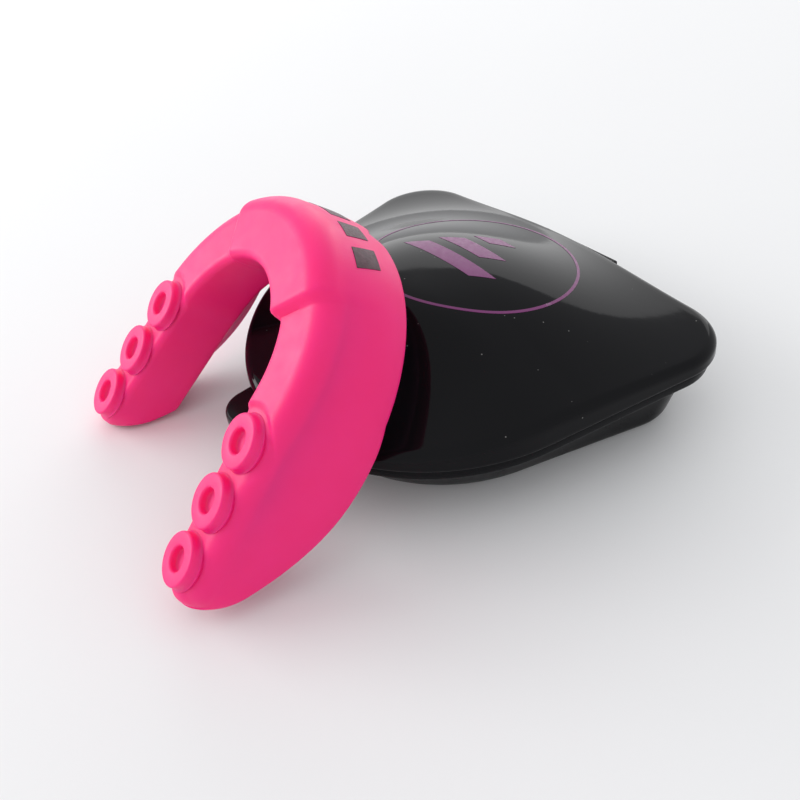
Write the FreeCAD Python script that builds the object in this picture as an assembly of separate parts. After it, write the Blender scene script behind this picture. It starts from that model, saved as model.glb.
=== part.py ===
import FreeCAD
import Part

import math
import os
from FreeCAD import Matrix, Placement, Rotation, Vector

# Mouthguard leaning on its hinged storage case. Millimetres, +Z up.
# Origin: on the flat underside of the case, under the middle of its rim.
# +Y runs from the rounded front of the case to its straight hinge side.

# ---------------------------------------------------------------- case sizes
RIM_WIDTH = 80.0           # widest part of the rim, near the hinge side
FRONT_RADIUS = 35.0        # round front of the rim
FRONT_CENTRE_Y = 0.2       # centre of that round front
BACK_CORNER_RADIUS = 10.0  # rim corners at the hinge side
CORNER_SHARE = 0.4         # of an inset that comes off the corner radius
LEAST_CORNER_RADIUS = 2.0
BACK_Y = 32.4              # straight hinge side of the rim
PARTING_Z = 12.8           # lower edge of the lid
PARTING_GAP = 0.3          # lid to base, closed
BAND_Z = 15.4              # top of the lid's upright band at the corners
CROWN_Z = 28.2             # highest point of the lid
CROWN_Y = -5.0             # where along Y that point lies
CROWN_FRONT_RUN = 22.0     # crown to rim, forwards
CROWN_BACK_RUN = 40.0      # crown to rim, backwards
CROWN_SPREAD = 0.80        # share of the run that the crown fills
CROWN_POWER = 2.8          # higher is flatter on top and steeper at the flanks
LID_WALL = 1.6

LIP_INSET = 0.8            # base lip stands this much inside the lid's edge
LIP_THICKNESS = 2.2
BOWL_INSET = 2.6           # bowl wall under the lip, inside the lip's edge
BOWL_TAPER = 3.0           # more inset at the foot, each side and back
BOWL_FRONT_TAPER = 6.5     # more inset at the foot, at the round front
BOWL_WALL = 1.8
BOWL_FLOOR = 2.0
FOOT_RADIUS = 2.0          # rounded edge round the foot
UPSTAND_WALL = 1.3
FIT_GAP = 0.4              # locating rim to the lid's inner face
UPSTAND_HEIGHT = BAND_Z - LID_WALL - FIT_GAP - (PARTING_Z - PARTING_GAP)  # stays clear under the lid's skin

TAB_WIDTH = 30.0           # thumb tab at the front of the base
TAB_REACH = 5.0            # beyond the lip
TAB_THICKNESS = 3.4
TAB_CORNER_RADIUS = 5.0

# --------------------------------------------------------------- hinge sizes
PIN_RADIUS = 0.7
PIN_CLEARANCE = 0.06       # radial, in every knuckle
PIN_HEAD_RADIUS = 1.3
PIN_HEAD_THICKNESS = 0.8
HINGE_DROP = 3.2           # hinge line below the parting line
KNUCKLE_RADIUS = 1.9
KNUCKLE_SWING_GAP = 0.4    # barrel to the rim's straight side
KNUCKLE_SIDE_GAP = 0.4     # between neighbouring knuckles
LID_KNUCKLE_LENGTH = 18.0
BASE_KNUCKLE_LENGTH = 9.0
HINGE_ARM_HEIGHT = 1.2     # top of the lid's hinge arm above the parting line

# --------------------------------------------------------------- print sizes
INK_THICKNESS = 0.12
RING_CENTRE_Y = 9.0
RING_RADIUS = 18.5
RING_LINE = 0.5
EMBLEM_BAR_LENGTH = 20.0
EMBLEM_BAR_WIDTH = 3.2
EMBLEM_BAR_GAP = 2.2
EMBLEM_BARS = 3
WALL_BARS = 4              # on the mouthguard's outer wall
WALL_BAR_PITCH = 15.0      # degrees
WALL_BAR_WIDTH = 4.6
WALL_BAR_HEIGHT = 4.6
WALL_BAR_DROP = 7.0        # their upper edge, below the bite face
WALL_PRINT_THICKNESS = 0.15

# ---------------------------------------------------------- mouthguard sizes
# Own axes: X across, Y from the front of the arch to the arm ends, Z out of
# the bite face. The middle ring of each arm lies on Y = 0.
ROW_HALF = 23.8            # middle ring's centre to the middle of the guard
RING_INSET = 0.7           # rings stand nearer the tongue side than the arm's centre line
ARM_SPLAY = 6.4            # degrees that each arm opens towards its end
RING_PITCH = 10.36
RINGS_PER_ARM = 3
RING_OUTER_RADIUS = 4.4
RING_HOLE_RADIUS = 2.0
RING_HEIGHT = 1.6
RING_HOLE_DEPTH = 1.4
ARM_HALF_WIDTH = 5.7       # half of the bite face's width along an arm
ARM_END_Y = 16.6
ARCH_CENTRE_Y = -13.4      # centre of the round front of the arch
BEND_Y = -14.0             # the bite face falls away forwards of this line
BEND_SLOPE = 6.0           # degrees
FRONT_BLOCK_HEIGHT = 1.5
FRONT_BLOCK_ANGLE = 40.0   # degrees each side of the front
FRONT_BLOCK_INSET = 0.4
LABIAL_DEPTH = 16.4        # free edge of the outer wall at the front
ARM_TAPER_Y = -22.0        # the free edges rise from here to the arm ends
ARM_MID_Y = 6.0
ARM_MID_DEPTH = 12.0       # outer wall there
ARM_TIP_DEPTH = 1.0        # outer wall at the arm ends
LINGUAL_DEPTH = 11.0       # free edge of the inner wall
FRENUM_RADIUS = 2.2        # notch in the middle of the outer wall's edge
WALL = 1.6
WEB = 3.2                  # bite face to the floor of the trough
LINER_THICKNESS = 0.8
LINER_GAP = 0.05

# where the mouthguard stands
GUARD_YAW = -101.7         # heading of the arm ends, degrees from +X
GUARD_LEAN = 46.8          # arms below the horizontal
GUARD_ROLL = 4.5           # turn about the guard's own front-to-rear line
GUARD_X = -13.6
FLOOR_GAP = 0.05           # under the lower arm end
LEAN_GAP = 0.34            # between the mouthguard and the case
LEAN_TOLERANCE = 0.02

OVERRUN = 1.0              # how far a cutting or joining tool runs past a face
FAR = 60.0                 # beyond everything in the mouthguard's own axes


def rim_outline(inset, front_taper=0.0, z=0.0):
    """Closed wire: round front, straight sides and hinge side, round corners."""
    front_r = FRONT_RADIUS - inset - front_taper / 2
    front_y = FRONT_CENTRE_Y + front_taper / 2
    back_r = max(BACK_CORNER_RADIUS - inset * CORNER_SHARE, LEAST_CORNER_RADIUS)
    corner_x = RIM_WIDTH / 2 - inset - back_r
    corner_y = BACK_Y - inset - back_r
    reach = math.hypot(corner_x, corner_y - front_y)
    bearing = math.atan2(corner_y - front_y, corner_x)
    tangent = bearing - math.acos((front_r - back_r) / reach)
    left_tangent = math.pi - tangent

    def on(cx, cy, radius, angle):
        return Vector(cx + radius * math.cos(angle), cy + radius * math.sin(angle), z)

    right = on(0, front_y, front_r, tangent)
    left = on(0, front_y, front_r, left_tangent)
    nose = on(0, front_y, front_r, -math.pi / 2)
    right_low = on(corner_x, corner_y, back_r, tangent)
    right_mid = on(corner_x, corner_y, back_r, (tangent + math.pi / 2) / 2)
    right_top = on(corner_x, corner_y, back_r, math.pi / 2)
    left_top = on(-corner_x, corner_y, back_r, math.pi / 2)
    left_mid = on(-corner_x, corner_y, back_r, (left_tangent + math.pi / 2) / 2)
    left_low = on(-corner_x, corner_y, back_r, left_tangent)
    edges = [
        Part.Arc(left, nose, right).toShape(),
        Part.LineSegment(right, right_low).toShape(),
        Part.Arc(right_low, right_mid, right_top).toShape(),
        Part.LineSegment(right_top, left_top).toShape(),
        Part.Arc(left_top, left_mid, left_low).toShape(),
        Part.LineSegment(left_low, left).toShape(),
    ]
    return Part.Wire(edges)


def prism(wire, height):
    """Solid swept straight up from a flat closed wire."""
    return Part.Face(wire).extrude(Vector(0, 0, height))


def crown_height(x, y):
    """Height of the lid's outer skin over a point of the plan."""
    run = CROWN_FRONT_RUN if y < CROWN_Y else CROWN_BACK_RUN
    widening = min(max((y - FRONT_CENTRE_Y) / (BACK_Y - FRONT_CENTRE_Y), 0), 1)
    half_width = FRONT_RADIUS + (RIM_WIDTH / 2 - FRONT_RADIUS) * widening
    spread = math.hypot(x / half_width, (y - CROWN_Y) / run)
    share = math.exp(-((spread / CROWN_SPREAD) ** CROWN_POWER))
    return BAND_Z + (CROWN_Z - BAND_Z) * share


def crown_solid(drop):
    """Everything under the lid's skin, lowered by drop."""
    margin = 4.0
    columns = 21
    rows = 21
    x_span = RIM_WIDTH + 2 * margin
    y_low = FRONT_CENTRE_Y - FRONT_RADIUS - margin
    y_span = BACK_Y + margin - y_low
    grid = []
    for i in range(columns):
        x = -x_span / 2 + x_span * i / (columns - 1)
        line = []
        for j in range(rows):
            y = y_low + y_span * j / (rows - 1)
            line.append(Vector(x, y, crown_height(x, y) - drop))
        grid.append(line)
    skin = Part.BSplineSurface()
    skin.interpolate(grid)
    return skin.toShape().extrude(Vector(0, 0, -CROWN_Z))


def hinge_y():
    return BACK_Y + KNUCKLE_SWING_GAP + KNUCKLE_RADIUS


def hinge_z():
    return PARTING_Z - HINGE_DROP


def knuckle(x_low, length):
    """One hinge barrel, unbored."""
    return Part.makeCylinder(KNUCKLE_RADIUS, length, Vector(x_low, hinge_y(), hinge_z()), Vector(1, 0, 0))


def block(x_low, length, y_low, y_high, z_low, z_high):
    """Box between two heights and two depths."""
    return Part.makeBox(length, y_high - y_low, z_high - z_low, Vector(x_low, y_low, z_low))


def pin_bore():
    """The bore through every knuckle."""
    length = LID_KNUCKLE_LENGTH + 2 * (BASE_KNUCKLE_LENGTH + KNUCKLE_SIDE_GAP + OVERRUN)
    return Part.makeCylinder(
        PIN_RADIUS + PIN_CLEARANCE, length, Vector(-length / 2, hinge_y(), hinge_z()), Vector(1, 0, 0)
    )


def make_lid():
    """Domed lid with its upright band and the middle hinge knuckle."""
    outer = prism(rim_outline(0, z=PARTING_Z), CROWN_Z).common(crown_solid(0))
    inner = prism(rim_outline(LID_WALL, z=PARTING_Z - OVERRUN), CROWN_Z).common(crown_solid(LID_WALL))
    shell = outer.cut(inner)
    x_low = -LID_KNUCKLE_LENGTH / 2
    outside_y = hinge_y() + KNUCKLE_RADIUS
    arm_top = PARTING_Z + HINGE_ARM_HEIGHT
    drop_arm = block(x_low, LID_KNUCKLE_LENGTH, BACK_Y, outside_y, hinge_z(), arm_top)
    root = block(x_low, LID_KNUCKLE_LENGTH, BACK_Y - LID_WALL / 2, outside_y, PARTING_Z, arm_top)
    arm = root.fuse([drop_arm, knuckle(x_low, LID_KNUCKLE_LENGTH)])
    return shell.fuse(arm).cut(pin_bore()).removeSplitter()


def make_tab():
    """Thumb tab under the lid's front edge."""
    lip_front = FRONT_CENTRE_Y - FRONT_RADIUS + LIP_INSET
    tab_top = PARTING_Z - PARTING_GAP
    depth = TAB_REACH + LIP_THICKNESS + BOWL_INSET
    tab = Part.makeBox(
        TAB_WIDTH, depth, TAB_THICKNESS, Vector(-TAB_WIDTH / 2, lip_front - TAB_REACH, tab_top - TAB_THICKNESS)
    )
    front_y = lip_front - TAB_REACH
    corners = [
        e for e in tab.Edges
        if abs(e.tangentAt(e.FirstParameter).z) > 0.9 and abs(e.Vertexes[0].Y - front_y) < 0.01
    ]
    return tab.makeFillet(TAB_CORNER_RADIUS, corners)


def bowl_solid(shrink, z_low, z_high):
    """Tapered body of the base; shrink offsets its side walls inwards."""
    top = rim_outline(LIP_INSET + BOWL_INSET + shrink, z=z_high)
    foot = rim_outline(LIP_INSET + BOWL_INSET + BOWL_TAPER + shrink, BOWL_FRONT_TAPER - BOWL_TAPER, z=z_low)
    return Part.makeLoft([top, foot], True, True)


def make_base():
    """Tapered bowl with its lip, locating rim, thumb tab and outer knuckles."""
    lip_top = PARTING_Z - PARTING_GAP
    lip_bottom = lip_top - LIP_THICKNESS
    bowl = bowl_solid(0, 0, lip_bottom)
    foot_edges = [e for e in bowl.Edges if all(abs(v.Z) < 0.001 for v in e.Vertexes)]
    bowl = bowl.makeFillet(FOOT_RADIUS, foot_edges)
    lip = prism(rim_outline(LIP_INSET, z=lip_bottom), LIP_THICKNESS)
    upstand_inset = LID_WALL + FIT_GAP
    upstand = prism(rim_outline(upstand_inset, z=lip_bottom), LIP_THICKNESS + UPSTAND_HEIGHT)
    base = bowl.fuse([lip, upstand, make_tab()])
    for side in (-1, 1):
        gap = LID_KNUCKLE_LENGTH / 2 + KNUCKLE_SIDE_GAP
        x_low = gap if side > 0 else -gap - BASE_KNUCKLE_LENGTH
        bowl_y = BACK_Y - LIP_INSET - BOWL_INSET - BOWL_WALL / 2
        web_low = hinge_z() - KNUCKLE_RADIUS / 2
        web = block(x_low, BASE_KNUCKLE_LENGTH, bowl_y, hinge_y(), web_low, lip_bottom + PARTING_GAP)
        base = base.fuse([web, knuckle(x_low, BASE_KNUCKLE_LENGTH)])
    cavity = bowl_solid(BOWL_WALL, BOWL_FLOOR, lip_bottom)
    mouth = prism(rim_outline(upstand_inset + UPSTAND_WALL, z=lip_bottom), LIP_THICKNESS + UPSTAND_HEIGHT + OVERRUN)
    return base.cut([cavity, mouth, pin_bore()]).removeSplitter()


def make_pin():
    """Headed pin through the knuckles."""
    shank = LID_KNUCKLE_LENGTH + 2 * (BASE_KNUCKLE_LENGTH + KNUCKLE_SIDE_GAP + PIN_CLEARANCE)
    pin = Part.makeCylinder(PIN_RADIUS, shank, Vector(-shank / 2, hinge_y(), hinge_z()), Vector(1, 0, 0))
    for x_low in (-shank / 2 - PIN_HEAD_THICKNESS, shank / 2):
        head = Part.makeCylinder(
            PIN_HEAD_RADIUS, PIN_HEAD_THICKNESS, Vector(x_low, hinge_y(), hinge_z()), Vector(1, 0, 0)
        )
        pin = pin.fuse(head)
    return pin.removeSplitter()


def ink_layer(face_prism):
    """Thin layer on the lid's skin inside an upright prism."""
    return face_prism.common(crown_solid(-INK_THICKNESS)).cut(crown_solid(0))


def make_ring_print():
    """Printed circle on the lid."""
    centre = Vector(0, RING_CENTRE_Y, PARTING_Z)
    disc = Part.makeCylinder(RING_RADIUS, CROWN_Z, centre)
    hole = Part.makeCylinder(RING_RADIUS - RING_LINE, CROWN_Z, centre)
    return ink_layer(disc.cut(hole))


def make_emblem_print():
    """Three slanted bars inside the printed circle."""
    pitch = EMBLEM_BAR_WIDTH + EMBLEM_BAR_GAP
    slant = EMBLEM_BAR_WIDTH
    bars = []
    for index in range(EMBLEM_BARS):
        y = RING_CENTRE_Y + (index - (EMBLEM_BARS - 1) / 2) * pitch - EMBLEM_BAR_WIDTH / 2
        half = EMBLEM_BAR_LENGTH / 2 - index * slant
        corners = [
            Vector(-half, y, PARTING_Z),
            Vector(half - slant, y, PARTING_Z),
            Vector(half, y + EMBLEM_BAR_WIDTH, PARTING_Z),
            Vector(-half + slant, y + EMBLEM_BAR_WIDTH, PARTING_Z),
        ]
        bars.append(ink_layer(prism(Part.makePolygon(corners + corners[:1]), CROWN_Z)))
    return Part.makeCompound(bars)


def arm_lines():
    """Start, end direction and sideways direction of the right arm's centre line, and the arch radius."""
    splay = math.radians(ARM_SPLAY)
    along = Vector(math.sin(splay), math.cos(splay), 0)
    across = Vector(math.cos(splay), -math.sin(splay), 0)
    arch_radius = (ROW_HALF + RING_INSET + ARCH_CENTRE_Y * math.tan(splay)) * math.cos(splay)
    start = Vector(0, ARCH_CENTRE_Y, 0) + across * arch_radius
    return start, along, across, arch_radius


def mirrored(point):
    """The same point on the other arm."""
    return Vector(-point.x, point.y, point.z)


def arch_outline(grow, z):
    """U-shaped closed wire around the arm centre lines, grow to every side."""
    half = ARM_HALF_WIDTH + grow
    start, along, across, arch_radius = arm_lines()
    centre = Vector(0, ARCH_CENTRE_Y, z)
    start = start + Vector(0, 0, z)
    end = start + along * ((ARM_END_Y - ARM_HALF_WIDTH - start.y) / along.y)
    outer_start = start + across * half
    outer_end = end + across * half
    inner_start = start - across * half
    inner_end = end - across * half
    tip = end + along * half
    outer_nose = centre - Vector(0, arch_radius + half, 0)
    inner_nose = centre - Vector(0, arch_radius - half, 0)
    edges = [
        Part.Arc(mirrored(outer_start), outer_nose, outer_start).toShape(),
        Part.LineSegment(outer_start, outer_end).toShape(),
        Part.Arc(outer_end, tip, inner_end).toShape(),
        Part.LineSegment(inner_end, inner_start).toShape(),
        Part.Arc(inner_start, inner_nose, mirrored(inner_start)).toShape(),
        Part.LineSegment(mirrored(inner_start), mirrored(inner_end)).toShape(),
        Part.Arc(mirrored(inner_end), mirrored(tip), mirrored(outer_end)).toShape(),
        Part.LineSegment(mirrored(outer_end), mirrored(outer_start)).toShape(),
    ]
    return Part.Wire(edges)


def ring_centres():
    """Centres of the raised rings on both arms."""
    splay = math.radians(ARM_SPLAY)
    centres = []
    for side in (-1, 1):
        for index in range(RINGS_PER_ARM):
            run = (index - (RINGS_PER_ARM - 1) / 2) * RING_PITCH
            centres.append(Vector(side * (ROW_HALF + run * math.sin(splay)), run * math.cos(splay), 0))
    return centres


def side_profile(points, first_edges):
    """Solid across the whole mouthguard from an outline in its own YZ plane."""
    chain = Part.makePolygon([Vector(-FAR, y, z) for y, z in points])
    return Part.Face(Part.Wire(first_edges + chain.Edges)).extrude(Vector(2 * FAR, 0, 0))


def beyond_edges():
    """Space beyond the free edges of the walls, which rise to the round arm ends."""
    tip_y = ARM_END_Y + OVERRUN
    taper = Part.Arc(
        Vector(-FAR, ARM_TAPER_Y, -LABIAL_DEPTH),
        Vector(-FAR, ARM_MID_Y, -ARM_MID_DEPTH),
        Vector(-FAR, tip_y, -ARM_TIP_DEPTH),
    ).toShape()
    points = [
        (tip_y, -ARM_TIP_DEPTH), (FAR, -ARM_TIP_DEPTH), (FAR, -FAR),
        (-FAR, -FAR), (-FAR, -LABIAL_DEPTH), (ARM_TAPER_Y, -LABIAL_DEPTH),
    ]
    return side_profile(points, [taper])


def under_bite_face(drop):
    """Everything below the bite face, lowered by drop; the face falls away at the front."""
    nose_z = -drop - (FAR + BEND_Y) * math.tan(math.radians(BEND_SLOPE))
    points = [(-FAR, nose_z), (BEND_Y, -drop), (FAR, -drop), (FAR, -FAR), (-FAR, -FAR), (-FAR, nose_z)]
    return side_profile(points, [])


def tongue_side():
    """Space on the tongue side, below the free edge of the inner wall."""
    z = -2 * LABIAL_DEPTH
    start, along, across, arch_radius = arm_lines()
    start = start + Vector(0, 0, z)
    far_end = start + along * FAR
    nose = Vector(0, ARCH_CENTRE_Y - arch_radius, z)
    sides = Part.makePolygon([start, far_end, mirrored(far_end), mirrored(start)])
    outline = Part.Wire([Part.Arc(mirrored(start), nose, start).toShape()] + sides.Edges)
    return prism(outline, 2 * LABIAL_DEPTH - LINGUAL_DEPTH)


def frenum_notch():
    """Round notch in the middle of the outer wall's free edge."""
    return Part.makeCylinder(
        FRENUM_RADIUS, FAR + ARCH_CENTRE_Y, Vector(0, -FAR, -LABIAL_DEPTH), Vector(0, 1, 0)
    )


def tooth_channel(margin):
    """The U-shaped trough that takes the teeth, margin inside its walls."""
    depth = LABIAL_DEPTH + OVERRUN
    return prism(arch_outline(-WALL - margin, -depth), depth).common(under_bite_face(WEB + margin))


def front_sector():
    """Upright wedge over the front of the arch."""
    angle = math.radians(FRONT_BLOCK_ANGLE)
    centre = Vector(0, ARCH_CENTRE_Y, -LABIAL_DEPTH / 2)
    right = centre + Vector(FAR * math.sin(angle), -FAR * math.cos(angle), 0)
    ahead = centre - Vector(0, 2 * FAR, 0)
    return prism(Part.makePolygon([centre, right, ahead, mirrored(right), centre]), LABIAL_DEPTH)


def make_guard_shell():
    """Outer gel shell: bite face, walls, raised front and rings."""
    body = prism(arch_outline(0, -LABIAL_DEPTH), LABIAL_DEPTH).common(under_bite_face(0))
    body = body.cut([tooth_channel(0), beyond_edges(), tongue_side(), frenum_notch()])
    block_z = -WEB - OVERRUN
    front = prism(arch_outline(-FRONT_BLOCK_INSET, block_z), FAR).common(under_bite_face(-FRONT_BLOCK_HEIGHT))
    front = front.common(front_sector()).cut(under_bite_face(WEB / 2))
    body = body.fuse(front)
    for point in ring_centres():
        foot = point - Vector(0, 0, OVERRUN)
        body = body.fuse(Part.makeCylinder(RING_OUTER_RADIUS, RING_HEIGHT + OVERRUN, foot))
    for point in ring_centres():
        floor = point + Vector(0, 0, RING_HEIGHT - RING_HOLE_DEPTH)
        body = body.cut(Part.makeCylinder(RING_HOLE_RADIUS, RING_HEIGHT + OVERRUN, floor))
    return body.removeSplitter()


def make_guard_liner():
    """Mouldable liner on the floor and walls of the trough."""
    liner = tooth_channel(LINER_GAP).cut(tooth_channel(LINER_GAP + LINER_THICKNESS))
    return liner.cut([beyond_edges(), tongue_side(), frenum_notch()]).removeSplitter()


def make_wall_print():
    """Printed bars on the outer wall at the front."""
    skin = prism(arch_outline(WALL_PRINT_THICKNESS, -LABIAL_DEPTH), LABIAL_DEPTH)
    skin = skin.cut(prism(arch_outline(0, -LABIAL_DEPTH), LABIAL_DEPTH))
    bars = []
    for index in range(WALL_BARS):
        corner = Vector(-WALL_BAR_WIDTH / 2, -FAR, -WALL_BAR_DROP - WALL_BAR_HEIGHT)
        bar = Part.makeBox(WALL_BAR_WIDTH, FAR - ROW_HALF, WALL_BAR_HEIGHT, corner)
        bar.rotate(Vector(0, 0, 0), Vector(0, 0, 1), (index - (WALL_BARS - 1) / 2) * WALL_BAR_PITCH)
        bar.translate(Vector(0, ARCH_CENTRE_Y, 0))
        bars.append(skin.common(bar))
    return Part.makeCompound(bars)


def leaning(shape):
    """Turn a mouthguard piece from its own axes to the way it leans, over the middle of its place."""
    yaw = math.radians(GUARD_YAW)
    lean = math.radians(GUARD_LEAN)
    rear = Vector(math.cos(yaw) * math.cos(lean), math.sin(yaw) * math.cos(lean), -math.sin(lean))
    face = Vector(math.cos(yaw) * math.sin(lean), math.sin(yaw) * math.sin(lean), math.cos(lean))
    face = Rotation(rear, GUARD_ROLL).multVec(face)
    across = rear.cross(face)
    matrix = Matrix(
        across.x, rear.x, face.x, GUARD_X,
        across.y, rear.y, face.y, 0,
        across.z, rear.z, face.z, 0,
        0, 0, 0, 1,
    )
    moved = shape.copy()
    moved.Placement = Placement(matrix).multiply(moved.Placement)
    return moved


def resting_place(guard, case):
    """Shift that stands the leaning mouthguard on the floor, its gap away from the case.

    The mouthguard comes from the front and moves on by the distance left each time,
    so it can't run into the case.
    """
    guard_box = guard.optimalBoundingBox()
    rim_front = FRONT_CENTRE_Y - FRONT_RADIUS - TAB_REACH
    shift = Vector(0, rim_front - guard_box.YMax + RIM_WIDTH / 4, FLOOR_GAP - guard_box.ZMin)
    for _ in range(60):
        placed = guard.copy()
        placed.translate(shift)
        left = placed.distToShape(case)[0] - LEAN_GAP
        if left < LEAN_TOLERANCE:
            break
        shift = shift + Vector(0, left, 0)
    return shift


def main():
    os.makedirs("parts", exist_ok=True)
    nodes = {
        "case_base": make_base(),
        "case_lid": make_lid(),
        "hinge_pin": make_pin(),
        "lid_print_ring": make_ring_print(),
        "lid_print_emblem": make_emblem_print(),
    }
    guard = {
        "guard_shell": leaning(make_guard_shell()),
        "guard_liner": leaning(make_guard_liner()),
        "guard_wall_print": leaning(make_wall_print()),
    }
    case = Part.makeCompound([nodes["case_base"], nodes["case_lid"]])
    shift = resting_place(Part.makeCompound([guard["guard_shell"], guard["guard_liner"]]), case)
    for name, shape in guard.items():
        shape.translate(shift)
        nodes[name] = shape
    for name, shape in nodes.items():
        shape.exportStep("parts/" + name + ".step")
        box = shape.BoundBox
        print(
            name, "solids", len(shape.Solids), "valid", shape.isValid(), "volume %.0f" % shape.Volume,
            "x %.1f %.1f y %.1f %.1f z %.1f %.1f" % (box.XMin, box.XMax, box.YMin, box.YMax, box.ZMin, box.ZMax),
        )
    print("mouthguard stands at x %.2f y %.2f z %.2f" % (GUARD_X, shift.y, shift.z))


main()
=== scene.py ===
"""A gel mouthguard leaning on its glossy hinged storage case."""

import logging
import math
from dataclasses import dataclass
from enum import Enum
from typing import Callable

import bmesh
import bpy
import numpy as np
from mathutils import Matrix, Vector


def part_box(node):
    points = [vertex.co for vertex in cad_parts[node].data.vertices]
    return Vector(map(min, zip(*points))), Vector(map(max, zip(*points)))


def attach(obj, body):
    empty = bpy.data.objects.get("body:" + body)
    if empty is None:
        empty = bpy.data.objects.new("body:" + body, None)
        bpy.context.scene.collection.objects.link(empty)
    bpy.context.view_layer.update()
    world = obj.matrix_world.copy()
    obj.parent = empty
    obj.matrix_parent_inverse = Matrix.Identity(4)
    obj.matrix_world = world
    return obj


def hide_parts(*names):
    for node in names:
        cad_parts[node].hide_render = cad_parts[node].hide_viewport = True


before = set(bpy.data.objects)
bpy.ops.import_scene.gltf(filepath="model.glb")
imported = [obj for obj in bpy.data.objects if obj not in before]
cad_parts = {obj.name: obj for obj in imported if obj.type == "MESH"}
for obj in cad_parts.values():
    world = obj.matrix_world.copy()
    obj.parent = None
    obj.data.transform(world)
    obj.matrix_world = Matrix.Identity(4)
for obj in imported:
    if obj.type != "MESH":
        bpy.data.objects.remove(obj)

LOG = logging.getLogger("mouthguard_case")
MM = 0.001
CRISP_DEGREES = 50.0
GEL_CRISP_DEGREES = 60.0
Outline = np.ndarray


class Body(Enum):
    """The bodies that pieces ride on."""

    CASE = "case"
    LID = "lid"
    GUARD = "guard"


@dataclass(frozen=True)
class Finish:
    """A moulded or printed surface.

    Colours are linear. Grain sizes are in millimetres.
    """

    name: str
    colour: tuple[float, float, float]
    tint: tuple[float, float, float]
    roughness: float
    roughness_spread: float = 0.05
    mottle_mm: float = 9.0
    grain_mm: float = 0.5
    grain_height_mm: float = 0.01
    subsurface: float = 0.0
    subsurface_mm: tuple[float, float, float] = (4.0, 1.0, 1.4)
    specular: float = 0.5
    metallic: float = 0.0
    dust: float = 0.0
    edge_wear: float = 0.0

    def build(self) -> bpy.types.Material:
        """Make the node material.

        Returns:
            The finished material.
        """
        material = bpy.data.materials.new(self.name)
        material.use_nodes = True
        nodes = material.node_tree.nodes
        links = material.node_tree.links
        shader = nodes["Principled BSDF"]
        place = nodes.new("ShaderNodeTexCoord")

        mottle = self._noise(nodes, links, place, self.mottle_mm, 5.0)
        blend = nodes.new("ShaderNodeMix")
        blend.data_type = "RGBA"
        blend.inputs["A"].default_value = (*self.colour, 1.0)
        blend.inputs["B"].default_value = (*self.tint, 1.0)
        links.new(mottle.outputs["Fac"], blend.inputs["Factor"])
        colour = blend.outputs["Result"]

        rough = nodes.new("ShaderNodeMapRange")
        rough.inputs["From Min"].default_value = 0.3
        rough.inputs["From Max"].default_value = 0.7
        rough.inputs["To Min"].default_value = max(self.roughness - self.roughness_spread, 0.02)
        rough.inputs["To Max"].default_value = self.roughness + self.roughness_spread
        smear = self._noise(nodes, links, place, self.mottle_mm * 0.4, 8.0)
        links.new(smear.outputs["Fac"], rough.inputs["Value"])
        roughness = rough.outputs["Result"]

        if self.dust > 0:
            colour, roughness = self._dust(nodes, links, place, colour, roughness)
        if self.edge_wear > 0:
            colour = self._wear(nodes, links, colour)
        links.new(colour, shader.inputs["Base Color"])
        links.new(roughness, shader.inputs["Roughness"])

        grain = self._noise(nodes, links, place, self.grain_mm, 3.0)
        bump = nodes.new("ShaderNodeBump")
        bump.inputs["Strength"].default_value = 1.0
        bump.inputs["Distance"].default_value = self.grain_height_mm * MM
        links.new(grain.outputs["Fac"], bump.inputs["Height"])
        links.new(bump.outputs["Normal"], shader.inputs["Normal"])

        shader.inputs["Metallic"].default_value = self.metallic
        shader.inputs["Specular IOR Level"].default_value = self.specular
        shader.inputs["Subsurface Weight"].default_value = self.subsurface
        shader.inputs["Subsurface Radius"].default_value = tuple(r * MM for r in self.subsurface_mm)
        shader.inputs["Subsurface Scale"].default_value = 1.0
        return material

    @staticmethod
    def _noise(
        nodes: bpy.types.Nodes, links: bpy.types.NodeLinks, place: bpy.types.Node,
        size_mm: float, detail: float,
    ) -> bpy.types.Node:
        """Add a noise texture.

        Args:
            nodes: the material's nodes.
            links: the material's links.
            place: the texture coordinates.
            size_mm: how wide its grains are.
            detail: number of finer layers.

        Returns:
            The texture node.
        """
        noise = nodes.new("ShaderNodeTexNoise")
        noise.inputs["Scale"].default_value = 1.0 / (size_mm * MM)
        noise.inputs["Detail"].default_value = detail
        links.new(place.outputs["Object"], noise.inputs["Vector"])
        return noise

    def _dust(
        self, nodes: bpy.types.Nodes, links: bpy.types.NodeLinks, place: bpy.types.Node,
        colour: bpy.types.NodeSocket, roughness: bpy.types.NodeSocket,
    ) -> tuple[bpy.types.NodeSocket, bpy.types.NodeSocket]:
        """Scatter fine pale specks over the colour and dull them.

        Args:
            nodes: the material's nodes.
            links: the material's links.
            place: the texture coordinates.
            colour: the colour so far.
            roughness: the roughness so far.

        Returns:
            The new colour and roughness outputs.
        """
        cells = nodes.new("ShaderNodeTexVoronoi")
        cells.inputs["Scale"].default_value = 320.0
        links.new(place.outputs["Object"], cells.inputs["Vector"])
        speck = nodes.new("ShaderNodeMapRange")
        speck.inputs["From Min"].default_value = 0.045
        speck.inputs["From Max"].default_value = 0.03
        speck.inputs["To Min"].default_value = 0.0
        speck.inputs["To Max"].default_value = self.dust
        links.new(cells.outputs["Distance"], speck.inputs["Value"])
        pale = nodes.new("ShaderNodeMix")
        pale.data_type = "RGBA"
        pale.inputs["B"].default_value = (0.45, 0.44, 0.42, 1.0)
        links.new(speck.outputs["Result"], pale.inputs["Factor"])
        links.new(colour, pale.inputs["A"])
        dull = nodes.new("ShaderNodeMath")
        dull.operation = "ADD"
        links.new(roughness, dull.inputs[0])
        links.new(speck.outputs["Result"], dull.inputs[1])
        return pale.outputs["Result"], dull.outputs["Value"]

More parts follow.
